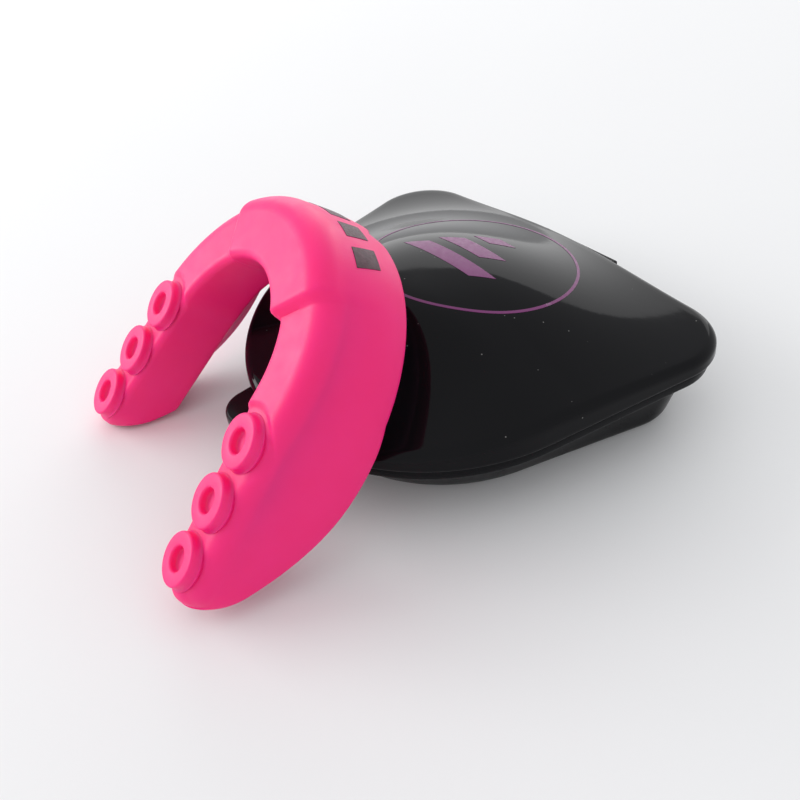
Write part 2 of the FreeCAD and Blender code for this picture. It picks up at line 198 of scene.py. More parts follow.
    def _wear(
        self, nodes: bpy.types.Nodes, links: bpy.types.NodeLinks, colour: bpy.types.NodeSocket
    ) -> bpy.types.NodeSocket:
        """Lighten the outward edges a little.

        Args:
            nodes: the material's nodes.
            links: the material's links.
            colour: the colour so far.

        Returns:
            The new colour output.
        """
        geometry = nodes.new("ShaderNodeNewGeometry")
        edge = nodes.new("ShaderNodeMapRange")
        edge.inputs["From Min"].default_value = 0.54
        edge.inputs["From Max"].default_value = 0.64
        edge.inputs["To Max"].default_value = self.edge_wear
        links.new(geometry.outputs["Pointiness"], edge.inputs["Value"])
        worn = nodes.new("ShaderNodeMix")
        worn.data_type = "RGBA"
        worn.inputs["B"].default_value = (*(min(c * 2.5 + 0.02, 1.0) for c in self.colour), 1.0)
        links.new(edge.outputs["Result"], worn.inputs["Factor"])
        links.new(colour, worn.inputs["A"])
        return worn.outputs["Result"]


class Finishes:
    """Every finish of the set, each built once."""

    def __init__(self) -> None:
        """Build the materials."""
        self.gloss_black = Finish(
            "gloss_black_lid", (0.003, 0.003, 0.004), (0.005, 0.005, 0.006), 0.07, 0.02,
            mottle_mm=14, grain_mm=1.6, grain_height_mm=0.004, specular=0.12, dust=0.35, edge_wear=0.3,
        ).build()
        self.satin_black = Finish(
            "satin_black_base", (0.003, 0.003, 0.004), (0.006, 0.006, 0.007), 0.24, 0.06,
            mottle_mm=8, grain_mm=0.5, grain_height_mm=0.008, specular=0.10, dust=0.2, edge_wear=0.4,
        ).build()
        self.gel_pink = Finish(
            "hot_pink_gel", (0.95, 0.010, 0.175), (0.98, 0.018, 0.215), 0.42, 0.05,
            mottle_mm=7, grain_mm=0.35, grain_height_mm=0.010, subsurface=0.30, specular=0.35, edge_wear=0.05,
        ).build()
        self.liner_pink = Finish(
            "pale_pink_liner", (0.88, 0.14, 0.36), (0.92, 0.20, 0.42), 0.5, 0.08,
            mottle_mm=5, grain_mm=0.6, grain_height_mm=0.03, subsurface=0.3, specular=0.4,
        ).build()
        self.lid_ink = Finish(
            "purple_pad_ink", (0.145, 0.022, 0.115), (0.21, 0.035, 0.165), 0.38, 0.08,
            mottle_mm=1.5, grain_mm=0.12, grain_height_mm=0.006, specular=0.35,
        ).build()
        self.wall_ink = Finish(
            "dark_pad_ink", (0.020, 0.003, 0.008), (0.085, 0.006, 0.028), 0.42, 0.1,
            mottle_mm=1.1, grain_mm=0.2, grain_height_mm=0.015, specular=0.35,
        ).build()
        self.pin_steel = Finish(
            "pin_steel", (0.50, 0.51, 0.53), (0.38, 0.39, 0.41), 0.32, 0.1,
            mottle_mm=2, grain_mm=0.15, grain_height_mm=0.01, metallic=1.0,
        ).build()
        self.pale_floor = Finish(
            "pale_floor", (0.86, 0.86, 0.86), (0.84, 0.84, 0.84), 0.75, 0.05,
            mottle_mm=120, grain_mm=2, grain_height_mm=0.02, specular=0.2,
        ).build()


def weld_mesh(name: str, points: np.ndarray, quads: np.ndarray, sharp_degrees: float) -> bpy.types.Object:
    """Turn points and quads into a closed, smooth object.

    Args:
        name: the object's name.
        points: corner positions in millimetres.
        quads: four point numbers per face.
        sharp_degrees: edges that turn more than this stay crisp.

    Returns:
        The new object, in metres.
    """
    mesh = bpy.data.meshes.new(name)
    mesh.from_pydata((points * MM).tolist(), [], quads.tolist())
    work = bmesh.new()
    work.from_mesh(mesh)
    bmesh.ops.remove_doubles(work, verts=work.verts, dist=0.00001)
    bmesh.ops.dissolve_degenerate(work, edges=work.edges, dist=0.000005)
    bmesh.ops.recalc_face_normals(work, faces=work.faces)
    work.to_mesh(mesh)
    work.free()
    mesh.shade_smooth()
    mesh.set_sharp_from_angle(angle=math.radians(sharp_degrees))
    piece = bpy.data.objects.new(name, mesh)
    bpy.context.scene.collection.objects.link(piece)
    return piece


def loft(
    name: str, loops: list[np.ndarray], wrap: bool = False, sharp_degrees: float = CRISP_DEGREES
) -> bpy.types.Object:
    """Skin a row of closed loops; a loop shrunk to a point or a line welds shut.

    Args:
        name: the object's name.
        loops: loops of equal length, in millimetres.
        wrap: whether the last loop joins the first.
        sharp_degrees: edges that turn more than this stay crisp.

    Returns:
        The new object.
    """
    rows = len(loops)
    count = len(loops[0])
    index = np.arange(rows * count).reshape(rows, count)
    upper = index if wrap else index[:-1]
    lower = np.roll(index, -1, axis=0) if wrap else index[1:]
    quads = np.stack([upper, np.roll(upper, -1, axis=1), np.roll(lower, -1, axis=1), lower], axis=-1)
    return weld_mesh(name, np.vstack(loops), quads.reshape(-1, 4), sharp_degrees)


def patch(name: str, top: np.ndarray, under: np.ndarray) -> bpy.types.Object:
    """Closed thin layer between two grids of points.

    Args:
        name: the object's name.
        top: grid of points, rows by columns by three, in millimetres.
        under: the same grid below it.

    Returns:
        The new object.
    """
    rows, columns = top.shape[:2]
    index = np.arange(rows * columns).reshape(rows, columns)
    low = index + rows * columns
    faces = [
        np.stack([index[:-1, :-1], index[1:, :-1], index[1:, 1:], index[:-1, 1:]], -1).reshape(-1, 4),
        np.stack([low[:-1, :-1], low[:-1, 1:], low[1:, 1:], low[1:, :-1]], -1).reshape(-1, 4),
    ]
    sides = (
        (index[0], low[0]), (index[-1], low[-1]), (index[:, 0], low[:, 0]), (index[:, -1], low[:, -1]),
    )
    for edge, base in sides:
        faces.append(np.stack([edge[:-1], edge[1:], base[1:], base[:-1]], -1))
    points = np.vstack([top.reshape(-1, 3), under.reshape(-1, 3)])
    return weld_mesh(name, points, np.vstack(faces), CRISP_DEGREES)


def join(name: str, pieces: list[bpy.types.Object]) -> bpy.types.Object:
    """Make one object of several.

    Args:
        name: the name of the result.
        pieces: the objects to join.

    Returns:
        The joined object.
    """
    work = bmesh.new()
    for piece in pieces:
        work.from_mesh(piece.data)
    mesh = bpy.data.meshes.new(name)
    work.to_mesh(mesh)
    work.free()
    for piece in pieces:
        bpy.data.objects.remove(piece)
    mesh.shade_smooth()
    mesh.set_sharp_from_angle(angle=math.radians(CRISP_DEGREES))
    whole = bpy.data.objects.new(name, mesh)
    bpy.context.scene.collection.objects.link(whole)
    return whole


def dress(piece: bpy.types.Object, finish: bpy.types.Material, slot: str, body: Body, *nodes: str) -> None:
    """Give a piece its finish and tie it to the body it moves with.

    Args:
        piece: the object.
        finish: its material.
        slot: not used.
        body: what it moves with.
        nodes: the CAD nodes that it stands for.
    """
    piece.data.materials.clear()
    piece.data.materials.append(finish)
    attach(piece, body.value)
    if nodes:
        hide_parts(*nodes)
    LOG.info("%s: %d faces, on %s", piece.name, len(piece.data.polygons), body.value)


def at_height(outline: Outline, z: float | np.ndarray) -> np.ndarray:
    """Lift a flat outline to a height, one for all points or one each."""
    return np.column_stack([outline, np.broadcast_to(z, len(outline))])


def smooth_step(value: np.ndarray, low: float, high: float) -> np.ndarray:
    """Ease from 0 below low to 1 above high."""
    t = np.clip((value - low) / (high - low), 0, 1)
    return t * t * (3 - 2 * t)


def slab(name: str, outline: Outline, low: float, high: float, edge: float) -> bpy.types.Object:
    """Upright slab with rounded edges on a convex outline.

    Args:
        name: the object's name.
        outline: its plan in millimetres.
        low: height of its underside.
        high: height of its top.
        edge: radius of the rounded edges.

    Returns:
        The new object.
    """
    middle = outline.mean(axis=0)
    reach = outline - middle
    half = np.abs(reach).max(axis=0)

    def shrunk(inset: float) -> Outline:
        """The outline drawn in evenly by an inset."""
        return middle + reach * (1 - inset / half)

    turns = np.radians(np.linspace(0, 90, 6))
    loops = [at_height(middle + reach * 0, low)]
    loops += [at_height(shrunk(edge * (1 - math.sin(a))), low + edge * (1 - math.cos(a))) for a in turns]
    loops += [at_height(shrunk(edge * (1 - math.cos(a))), high - edge * (1 - math.sin(a))) for a in turns]
    loops += [at_height(middle + reach * 0, high)]
    return loft(name, loops)


def barrel(
    name: str, x_low: float, x_high: float, y: float, z: float, radius: float, bore: float
) -> bpy.types.Object:
    """Hinge knuckle lying along X, bored and with eased rims.

    Args:
        name: the object's name.
        x_low: its left end.
        x_high: its right end.
        y: the hinge line's Y.
        z: the hinge line's height.
        radius: outside radius.
        bore: radius of the pin hole.

    Returns:
        The new object.
    """
    ease = 0.25
    profile = [
        (bore, x_low), (radius - ease, x_low), (radius, x_low + ease), (radius, x_high - ease),
        (radius - ease, x_high), (bore, x_high),
    ]
    turn = np.linspace(0, 2 * np.pi, 48, endpoint=False)
    loops = [
        np.column_stack([np.full(48, x), y + r * np.cos(turn), z + r * np.sin(turn)]) for r, x in profile
    ]
    return loft(name, loops, wrap=True, sharp_degrees=35.0)


@dataclass
class RimPlan:
    """Plan of the case: round front, straight sides, round hinge-side corners."""

    half_width: float
    front_radius: float
    front_y: float
    corner_radius: float
    back_y: float
    corner_share: float = 0.4
    least_corner: float = 2.0
    arc_points: int = 128
    side_points: int = 28
    corner_points: int = 28
    back_points: int = 44

    def outline(self, inset: float, front_taper: float = 0.0) -> Outline:
        """Closed outline set in from the rim.

        Args:
            inset: distance inside the rim.
            front_taper: further distance at the round front.

        Returns:
            The points, in order, always the same number.
        """
        radius = self.front_radius - inset - front_taper / 2
        front_y = self.front_y + front_taper / 2
        corner = max(self.corner_radius - inset * self.corner_share, self.least_corner)
        corner_x = self.half_width - inset - corner
        corner_y = self.back_y - inset - corner
        reach = math.hypot(corner_x, corner_y - front_y)
        tangent = math.atan2(corner_y - front_y, corner_x) - math.acos((radius - corner) / reach)

        def arc(cx: float, cy: float, r: float, start: float, stop: float, count: int) -> Outline:
            """Points along an arc, its last one left out."""
            turn = np.linspace(start, stop, count, endpoint=False)
            return np.column_stack([cx + r * np.cos(turn), cy + r * np.sin(turn)])

        def line(start: Outline, stop: Outline, count: int) -> Outline:
            """Points along a line, its last one left out."""
            share = np.linspace(0, 1, count, endpoint=False)[:, None]
            return start + (stop - start) * share

        front = arc(0, front_y, radius, -math.pi - tangent, tangent, self.arc_points)
        right = arc(corner_x, corner_y, corner, tangent, math.pi / 2, self.corner_points)
        left = arc(-corner_x, corner_y, corner, math.pi / 2, math.pi - tangent, self.corner_points)
        front_end = np.array([radius * math.cos(tangent), front_y + radius * math.sin(tangent)])
        corner_end = np.array([corner_x, corner_y + corner])
        left_end = np.array([-corner_x - corner * math.cos(tangent), corner_y + corner * math.sin(tangent)])
        return np.vstack([
            front, line(front_end, right[0], self.side_points), right,
            line(corner_end, left[0], self.back_points), left, line(left_end, front[0], self.side_points),
        ])


@dataclass
class Case:
    """The hinged case: tapered base, domed lid and their hinge knuckles."""

    plan: RimPlan
    finishes: Finishes
    parting_z: float = 12.8
    band_z: float = 15.4
    crown_z: float = 28.2
    crown_y: float = -5.0
    crown_front_run: float = 22.0
    crown_back_run: float = 40.0
    crown_spread: float = 0.80
    crown_power: float = 2.8
    lid_wall: float = 1.6
    shoulder: float = 1.5
    lid_lip_edge: float = 0.3
    parting_gap: float = 0.3
    lip_inset: float = 0.8
    lip_thickness: float = 2.2
    bowl_inset: float = 2.6
    bowl_taper: float = 3.0
    bowl_front_taper: float = 3.5
    bowl_wall: float = 1.8
    bowl_floor: float = 2.0
    foot_radius: float = 2.0
    upstand_height: float = 0.9
    upstand_wall: float = 1.3
    upstand_inset: float = 2.0
    tab_width: float = 30.0
    tab_reach: float = 5.0
    tab_thickness: float = 3.4
    tab_corner: float = 5.0
    hinge_y: float = 34.7
    hinge_z: float = 9.6
    knuckle_radius: float = 1.9
    bore_radius: float = 0.76
    lid_knuckle: float = 18.0
    base_knuckle: float = 9.0
    knuckle_gap: float = 0.4
    arm_height: float = 1.2
    ink_rise: float = 0.05
    ink_depth: float = 0.03

    def crown(self, points: Outline) -> np.ndarray:
        """Height of the lid's outer skin over plan points."""
        x = points[..., 0]
        y = points[..., 1]
        run = np.where(y < self.crown_y, self.crown_front_run, self.crown_back_run)
        depth = self.plan.back_y - self.plan.front_y
        widening = np.clip((y - self.plan.front_y) / depth, 0, 1)
        half = self.plan.front_radius + (self.plan.half_width - self.plan.front_radius) * widening
        spread = np.hypot(x / half, (y - self.crown_y) / run)
        share = np.exp(-((spread / self.crown_spread) ** self.crown_power))
        return self.band_z + (self.crown_z - self.band_z) * share

    def _dome(self, inset: float, drop: float, steps: int) -> list[np.ndarray]:
        """Loops of a dome skin from its middle outwards.

        Args:
            inset: where its rim lies inside the case's rim.
            drop: how far it lies below the outer skin.
            steps: number of loops.

        Returns:
            The loops.
        """
        pole = np.array([0.0, self.crown_y])
        rim = self.plan.outline(inset)
        loops = []
        for share in np.linspace(0, 1, steps):
            ring = pole + (rim - pole) * share
            loops.append(at_height(ring, self.crown(ring) - drop))
        return loops

    def build_lid(self) -> bpy.types.Object:
        """Domed lid with a soft shoulder, upright band and hinge arm.

        Returns:
            The lid.
        """
        loops = self._dome(self.shoulder, 0, 40)
        for angle in np.radians(np.linspace(9, 90, 10)):
            ring = self.plan.outline(self.shoulder * (1 - math.sin(angle)))
            loops.append(at_height(ring, self.crown(ring) - self.shoulder * (1 - math.cos(angle))))
        rim = self.plan.outline(0)
        band_top = self.crown(rim) - self.shoulder
        foot = self.parting_z + self.lid_lip_edge
        for share in np.linspace(0.2, 1, 5):
            loops.append(at_height(rim, band_top + (foot - band_top) * share))
        for angle in np.radians((30, 60, 90)):
            inset = self.lid_lip_edge * (1 - math.cos(angle))
            loops.append(at_height(self.plan.outline(inset), foot - self.lid_lip_edge * math.sin(angle)))
        inner = self.lid_wall
        loops.append(at_height(self.plan.outline(inner - self.lid_lip_edge), self.parting_z))
        loops.append(at_height(self.plan.outline(inner), foot))
        loops += self._dome(inner, self.lid_wall, 24)[::-1]
        shell = loft("lid_shell", loops)
        half = self.lid_knuckle / 2
        outside = self.hinge_y + self.knuckle_radius
        arm = slab(
            "lid_arm", box_outline(-half, half, self.plan.back_y - self.lid_wall / 2, outside),
            self.hinge_z, self.parting_z + self.arm_height, 0.5,
        )
        knuckle = barrel(
            "lid_knuckle", -half, half, self.hinge_y, self.hinge_z, self.knuckle_radius, self.bore_radius
        )
        return join("lid", [shell, arm, knuckle])

    def build_base(self) -> bpy.types.Object:
        """Tapered bowl with lip, locating rim, thumb tab and outer knuckles.

        Returns:
            The base.
        """
        lip_top = self.parting_z - self.parting_gap
        lip_low = lip_top - self.lip_thickness
        wall_top = self.lip_inset + self.bowl_inset
        plan = self.plan

        def wall(z: float, shrink: float, z_low: float) -> Outline:
            """Outline of the tapered wall at a height, drawn in by shrink."""
            share = 1 - (z - z_low) / (lip_low - z_low)
            return plan.outline(wall_top + shrink + self.bowl_taper * share, self.bowl_front_taper * share)

        middle = np.array([0.0, 0.0])
        foot = self.foot_radius
        sole = plan.outline(wall_top + self.bowl_taper + foot, self.bowl_front_taper)
        loops = [at_height(middle + (sole - middle) * s, 0.0) for s in np.linspace(0, 1, 8)]
        for angle in np.radians(np.linspace(15, 90, 6)):
            z = foot * (1 - math.cos(angle))
            share = 1 - z / lip_low
            inset = wall_top + self.bowl_taper * share + foot * (1 - math.sin(angle))
            loops.append(at_height(plan.outline(inset, self.bowl_front_taper * share), z))
        fillet = 0.7
        for z in np.linspace(foot + 1, lip_low - fillet, 7):
            loops.append(at_height(wall(z, 0, 0), z))
        for angle in np.radians((30, 60, 90)):
            inset = wall_top - fillet * (1 - math.cos(angle))
            loops.append(at_height(plan.outline(inset), lip_low - fillet * (1 - math.sin(angle))))
        edge = 0.5
        for angle in np.radians((0, 30, 60, 90)):
            inset = self.lip_inset + edge * (1 - math.sin(angle))
            loops.append(at_height(plan.outline(inset), lip_low + edge * (1 - math.cos(angle))))
        for angle in np.radians((0, 30, 60, 90)):
            inset = self.lip_inset + edge * (1 - math.cos(angle))
            loops.append(at_height(plan.outline(inset), lip_top - edge * (1 - math.sin(angle))))
        rim_edge = self.upstand_wall / 2
        rim_top = lip_top + self.upstand_height
        loops.append(at_height(plan.outline(self.upstand_inset), lip_top))
        for angle in np.radians(np.linspace(0, 180, 9)):
            inset = self.upstand_inset + rim_edge * (1 - math.cos(angle))
            loops.append(at_height(plan.outline(inset), rim_top - rim_edge * (1 - math.sin(angle))))
        loops.append(at_height(plan.outline(self.upstand_inset + self.upstand_wall), lip_low))
        for z in np.linspace(lip_low, self.bowl_floor + 1, 8):
            loops.append(at_height(wall(z, self.bowl_wall, self.bowl_floor), z))
        floor = plan.outline(wall_top + self.bowl_wall + self.bowl_taper + 1, self.bowl_front_taper)
        for share in np.linspace(1, 0, 8):
            loops.append(at_height(middle + (floor - middle) * share, self.bowl_floor))
        bowl = loft("base_bowl", loops)
        pieces = [bowl, self._tab(lip_top)]
        for side in (-1, 1):
            ends = sorted((side * (self.lid_knuckle / 2 + self.knuckle_gap),
                           side * (self.lid_knuckle / 2 + self.knuckle_gap + self.base_knuckle)))
            pieces.append(barrel(
                "base_knuckle", ends[0], ends[1], self.hinge_y, self.hinge_z,
                self.knuckle_radius, self.bore_radius,
            ))
            bowl_y = plan.back_y - wall_top - self.bowl_wall / 2
            web = box_outline(ends[0], ends[1], bowl_y, self.hinge_y - self.bore_radius)
            pieces.append(slab("base_web", web, self.hinge_z - self.knuckle_radius / 2, lip_low + 0.3, 0.3))
        return join("base", pieces)

    def _tab(self, top: float) -> bpy.types.Object:
        """Thumb tab under the lid's front edge, with round corners.

        Args:
            top: height of its upper face.

        Returns:
            The tab.
        """
        front = self.plan.front_y - self.plan.front_radius + self.lip_inset - self.tab_reach
        back = front + self.tab_reach + self.lip_thickness + self.bowl_inset
        half = self.tab_width / 2
        points = []
        for side, start in ((-1, 180), (1, 270)):
            for angle in np.radians(np.linspace(start, start + 90, 14)):
                points.append((
                    side * (half - self.tab_corner) + self.tab_corner * math.cos(angle),
                    front + self.tab_corner * (1 + math.sin(angle)),
                ))
        points += [(half, back), (-half, back)]
        return slab("thumb_tab", np.array(points), top - self.tab_thickness, top, 1.0)

    def build_ring_print(
        self, centre_y: float = 9.0, radius: float = 18.5, line: float = 0.5
    ) -> bpy.types.Object:
        """Printed circle on the lid.

        Args:
            centre_y: Y of its middle.
            radius: outside radius.
            line: width of the line.

        Returns:
            The print.
        """
        turn = np.linspace(0, 2 * np.pi, 241)
        rows = [(radius - line * s) for s in (0, 0.5, 1)]
        grid = np.array([np.column_stack([r * np.cos(turn), centre_y + r * np.sin(turn)]) for r in rows])
        return self._print("lid_circle", grid)

    def build_emblem_print(self, centre_y: float = 9.0) -> bpy.types.Object:
        """Three slanted bars inside the printed circle.

        Args:
            centre_y: Y of the circle's middle.

        Returns:
            The print.
        """
        length, width, gap, count = 20.0, 3.2, 2.2, 3
        bars = []
        for index in range(count):
            y_low = centre_y + (index - (count - 1) / 2) * (width + gap) - width / 2
            half = length / 2 - index * width
            across = np.linspace(0, 1, 7)[:, None]
            along = np.linspace(0, 1, 25)[None, :]
            x = (-half + width * across) + (2 * half - width) * along
            y = y_low + width * across + 0 * along
            bars.append(self._print("lid_bar", np.stack([x, y], axis=-1)))
        return join("lid_emblem", bars)

    def _print(self, name: str, grid: np.ndarray) -> bpy.types.Object:
        """Thin ink layer on the dome.

        Args:
            name: the object's name.
            grid: plan points, rows by columns by two.

        Returns:
            The print.
        """
        z = self.crown(grid)[..., None]
        top = np.concatenate([grid, z + self.ink_rise], axis=-1)
        under = np.concatenate([grid, z - self.ink_depth], axis=-1)
        return patch(name, top, under)

    def build(self) -> None:
        """Build and dress every piece of the case."""
        dress(self.build_base(), self.finishes.satin_black, "base_black", Body.CASE, "case_base")
        dress(self.build_lid(), self.finishes.gloss_black, "lid_black", Body.LID, "case_lid")
        dress(self.build_ring_print(), self.finishes.lid_ink, "lid_ink", Body.LID, "lid_print_ring")
        dress(self.build_emblem_print(), self.finishes.lid_ink, "lid_ink", Body.LID, "lid_print_emblem")
        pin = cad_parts["hinge_pin"]
        pin.data.materials.clear()
        pin.data.materials.append(self.finishes.pin_steel)


def box_outline(x_low: float, x_high: float, y_low: float, y_high: float) -> Outline:
    """Rectangle by its four corners, for a slab."""
    return np.array([(x_low, y_low), (x_high, y_low), (x_high, y_high), (x_low, y_high)])


@dataclass
class Guard:
    """The gel mouthguard with its lining, rings and printed bars.

    Its own axes: X across, Y from the front of the arch to the arm ends, Z out of the bite face.
    """

    finishes: Finishes
    row_half: float = 23.8
    ring_inset: float = 0.7
    splay: float = math.radians(6.4)
    ring_pitch: float = 10.36
    ring_radius: float = 4.4
    ring_hole: float = 2.0
    ring_height: float = 1.6
    half: float = 5.7
    arm_end_y: float = 16.6
    arch_y: float = -13.4
    bend_y: float = -14.0
    bend_slope: float = math.tan(math.radians(6.0))
    labial_depth: float = 16.4
    taper_y: float = -22.0
    mid_y: float = 6.0
    mid_depth: float = 12.0
    tip_depth: float = 1.0
    lingual_depth: float = 11.0
    wall: float = 1.6
    web: float = 3.2
    liner_gap: float = 0.05
    liner: float = 0.8
    outer_round: float = 4.0
    inner_round: float = 1.5
    block_rise: float = 2.3
    block_degrees: float = 40.0
    block_fold: float = 0.7
    arm_rise: float = 0.6
    swell: float = 1.6
    calm_half: float = 13.0
    frenum_height: float = 1.6
    frenum_half: float = 2.2
    bar_count: int = 4
    bar_pitch: float = 15.0
    bar_degrees: float = 9.2
    bar_height: float = 4.6
    bar_drop: float = 7.0
    bar_slant: float = 2.4
    bar_lift: float = 0.08
    step_radius: float = 5.6
    yaw: float = math.radians(-101.7)
    lean: float = math.radians(46.8)
    roll: float = math.radians(4.5)
    arch_points: int = 150
    arm_points: int = 64
    cap_points: int = 48

    def __post_init__(self) -> None:
        """Lay out the centre line, its outward directions and which side each point is on."""
        along = np.array([math.sin(self.splay), math.cos(self.splay)])
        across = np.array([math.cos(self.splay), -math.sin(self.splay)])
        middle = self.row_half + self.ring_inset + self.arch_y * math.tan(self.splay)
        self.arch_radius = middle * math.cos(self.splay)
        centre = np.array([0.0, self.arch_y])
        start = centre + across * self.arch_radius
        end = start + along * ((self.arm_end_y - self.half - start[1]) / along[1])
        flip = np.array([-1.0, 1.0])

        turn = np.linspace(-math.pi + self.splay, -self.splay, self.arch_points, endpoint=False)
        spokes = np.column_stack([np.cos(turn), np.sin(turn)])
        share = np.linspace(0, 1, self.arm_points, endpoint=False)[:, None]
        outward = start + (end - start) * share
        inward = end + (start - end) * share
        bearing = math.atan2(across[1], across[0])
        cap = bearing + np.linspace(0, math.pi, self.cap_points, endpoint=False)
        cap_dirs = np.column_stack([np.cos(cap), np.sin(cap)])
        cap_back = bearing + math.pi - np.linspace(0, math.pi, self.cap_points, endpoint=False)
        cap_back_dirs = np.column_stack([np.cos(cap_back), np.sin(cap_back)]) * flip
        back_turn = turn[::-1] + (turn[1] - turn[0])
        back_spokes = np.column_stack([np.cos(back_turn), np.sin(back_turn)])
        ones = np.ones((self.arm_points, 1))
        cap_ones = np.ones((self.cap_points, 1))
        self.line = np.vstack([
            centre + spokes * self.arch_radius, outward, end * cap_ones, inward,
            centre + back_spokes * self.arch_radius, outward * flip, end * flip * cap_ones, inward * flip,
        ])
        self.out = np.vstack([
            spokes, across * ones, cap_dirs, -across * ones,
            -back_spokes, -across * flip * ones, cap_back_dirs, across * flip * ones,
        ])
        ease = (1 + np.cos(np.linspace(0, math.pi, self.cap_points, endpoint=False))) / 2
        self.side = np.concatenate([
            np.ones(self.arch_points + self.arm_points), ease, np.zeros(self.arm_points),
            np.zeros(self.arch_points + self.arm_points), 1 - ease, np.ones(self.arm_points),
        ])
        self.rings = [
            np.array([side * (self.row_half + run * math.sin(self.splay)), run * math.cos(self.splay)])
            for side in (-1, 1) for run in (-self.ring_pitch, 0.0, self.ring_pitch)
        ]

    def depth(self, y: np.ndarray) -> np.ndarray:
        """How far the free edge lies below the bite face, along the outer wall."""
        low = np.array([self.taper_y, -self.labial_depth])
        middle = np.array([self.mid_y, -self.mid_depth])
        tip = np.array([self.arm_end_y + 1.0, -self.tip_depth])
        rows = np.array([middle - low, tip - low])
        centre = np.linalg.solve(2 * rows, [middle @ middle - low @ low, tip @ tip - low @ low])
        radius = np.linalg.norm(low - centre)
        drop = np.sqrt(np.clip(radius**2 - (np.clip(y, self.taper_y, tip[0]) - centre[0]) ** 2, 0, None))
        return np.where(y < self.taper_y, self.labial_depth, -(centre[1] - drop))

    def edge_depth(self, points: Outline) -> np.ndarray:
        """Depth of the free edge at each outline point, shallower on the tongue side."""
        outer = self.depth(points[:, 1])
        inner = np.minimum(outer, self.lingual_depth)
        frenum = self.frenum_height * np.exp(-((points[:, 0] / self.frenum_half) ** 2))
        frenum = frenum * (points[:, 1] < self.arch_y)
        return inner + (outer - inner) * self.side - frenum * self.side

    def block_weight(self, points: Outline) -> np.ndarray:
        """1 on the raised front block, easing to 0 past its ends."""
        spoke = points - np.array([0.0, self.arch_y])
        angle = np.degrees(np.abs(np.arctan2(spoke[:, 0], -spoke[:, 1])))
        return 1 - smooth_step(angle, self.block_degrees - 3.0, self.block_degrees + 3.5)

    def face(self, points: Outline) -> np.ndarray:
        """Height of the bite face, with its bend, middle level and front block."""
        bend = -np.clip(self.bend_y - points[:, 1], 0, None) * self.bend_slope
        first = self.rings[3]
        gap = np.hypot(np.abs(points[:, 0]) - first[0], points[:, 1] - first[1])
        level = smooth_step(gap, self.step_radius, self.step_radius + 0.9)
        level = level * (1 - smooth_step(points[:, 1], first[1] - 1.5, first[1] + 5.5))
        block = self.block_weight(points)
        return bend + np.maximum(self.arm_rise * level, self.block_rise * block)

    def _ring_zone(self) -> np.ndarray:
        """1 beside the rings, 0 along the rest of the arch."""
        return smooth_step(self.line[:, 1], self.rings[3][1] - 7.0, self.rings[3][1] - 1.0)

    def _cheek(self) -> np.ndarray:
        """Share of the outward swell of the wall: full beside the front, less at its middle and arm ends."""
        return self._off_middle(self.line[:, 0]) * (1 - 0.8 * smooth_step(self.line[:, 1], -8.0, 12.0))

    def _off_middle(self, x: np.ndarray) -> np.ndarray:
        """Share of the swell at a distance from the middle of the front."""
        return 1 - 0.8 * np.exp(-((x / self.calm_half) ** 2))

    def _wall_swell(self, angle: np.ndarray, z: np.ndarray) -> np.ndarray:
        """How far the outer wall stands proud at a bearing from the front and a height.

        Args:
            angle: bearings round the arch, 0 at the front.
            z: heights, negative below the bite face.

        Returns:
            Distances outside the plain arch.
        """
        rim = np.stack([np.sin(angle), -np.cos(angle)], axis=-1) * (self.arch_radius + self.half)
        rim = (rim + np.array([0.0, self.arch_y])).reshape(-1, 2)
        top = self.face(rim).reshape(z.shape) - self.outer_round
        foot = -self.depth(rim[:, 1]).reshape(z.shape) + self.wall / 2
        share = np.clip((top - z) / (top - foot), 0, 1)
        middle = self._off_middle(self.arch_radius * np.sin(angle))
        return self.swell * middle * np.sin(np.pi * share / 1.5)

    def spread(self, reach: np.ndarray | float) -> Outline:
        """Outline points at a distance from the centre line."""
        return self.line + self.out * np.reshape(reach, (-1, 1))

    def shell_loops(self) -> list[np.ndarray]:
        """Loops of the shell from the middle of the bite face round to the trough floor.

        Returns:
            The loops in the guard's own axes.
        """
        inner_side = 1 - self.side
        edge = self.spread(self.half)
        depth = self.edge_depth(edge)
        fold = self.block_fold * self.block_weight(edge) * inner_side
        width = self.half - 0.45 * self._ring_zone() * inner_side + fold
        radius = self.inner_round + (self.outer_round - self.inner_round) * self.side
        radius = np.minimum(radius, 0.75 * (depth + self.face(edge)))
        loops = []
        for share in np.linspace(0, 1, 16):
            points = self.spread((width - radius) * share)
            loops.append(np.column_stack([points, self.face(points)]))
        for angle in np.radians(np.linspace(8, 90, 12)):
            points = self.spread(width - radius * (1 - math.sin(angle)))
            loops.append(np.column_stack([points, self.face(points) - radius * (1 - math.cos(angle))]))
        top = self.face(self.spread(width)) - radius
        lip = self.wall / 2
        foot = np.minimum(-depth + lip, top - 0.05)
        for share in np.linspace(0.1, 1, 12):
            swell = self.swell * self._cheek() * math.sin(math.pi * share / 1.5) * self.side
            pull = fold * smooth_step(np.array(share), 0.1, 0.8)
            points = self.spread(width + swell - pull)
            loops.append(np.column_stack([points, top + (foot - top) * share]))
        base = width - fold + self.swell * self._cheek() * math.sin(math.pi / 1.5) * self.side
        for angle in np.radians(np.linspace(20, 160, 8)):
            points = self.spread(base - lip * (1 - math.cos(angle)))
            loops.append(np.column_stack([points, foot - lip * math.sin(angle)]))
        inside = base - self.wall
        ceiling = self.trough_ceiling(edge, depth, 0.0)
        for share in np.linspace(0, 1, 5):
            loops.append(np.column_stack([self.spread(inside), foot + (ceiling - foot) * share]))
        for share in (0.7, 0.35, 0.0):
            loops.append(np.column_stack([self.spread(inside * share), ceiling]))
        return loops

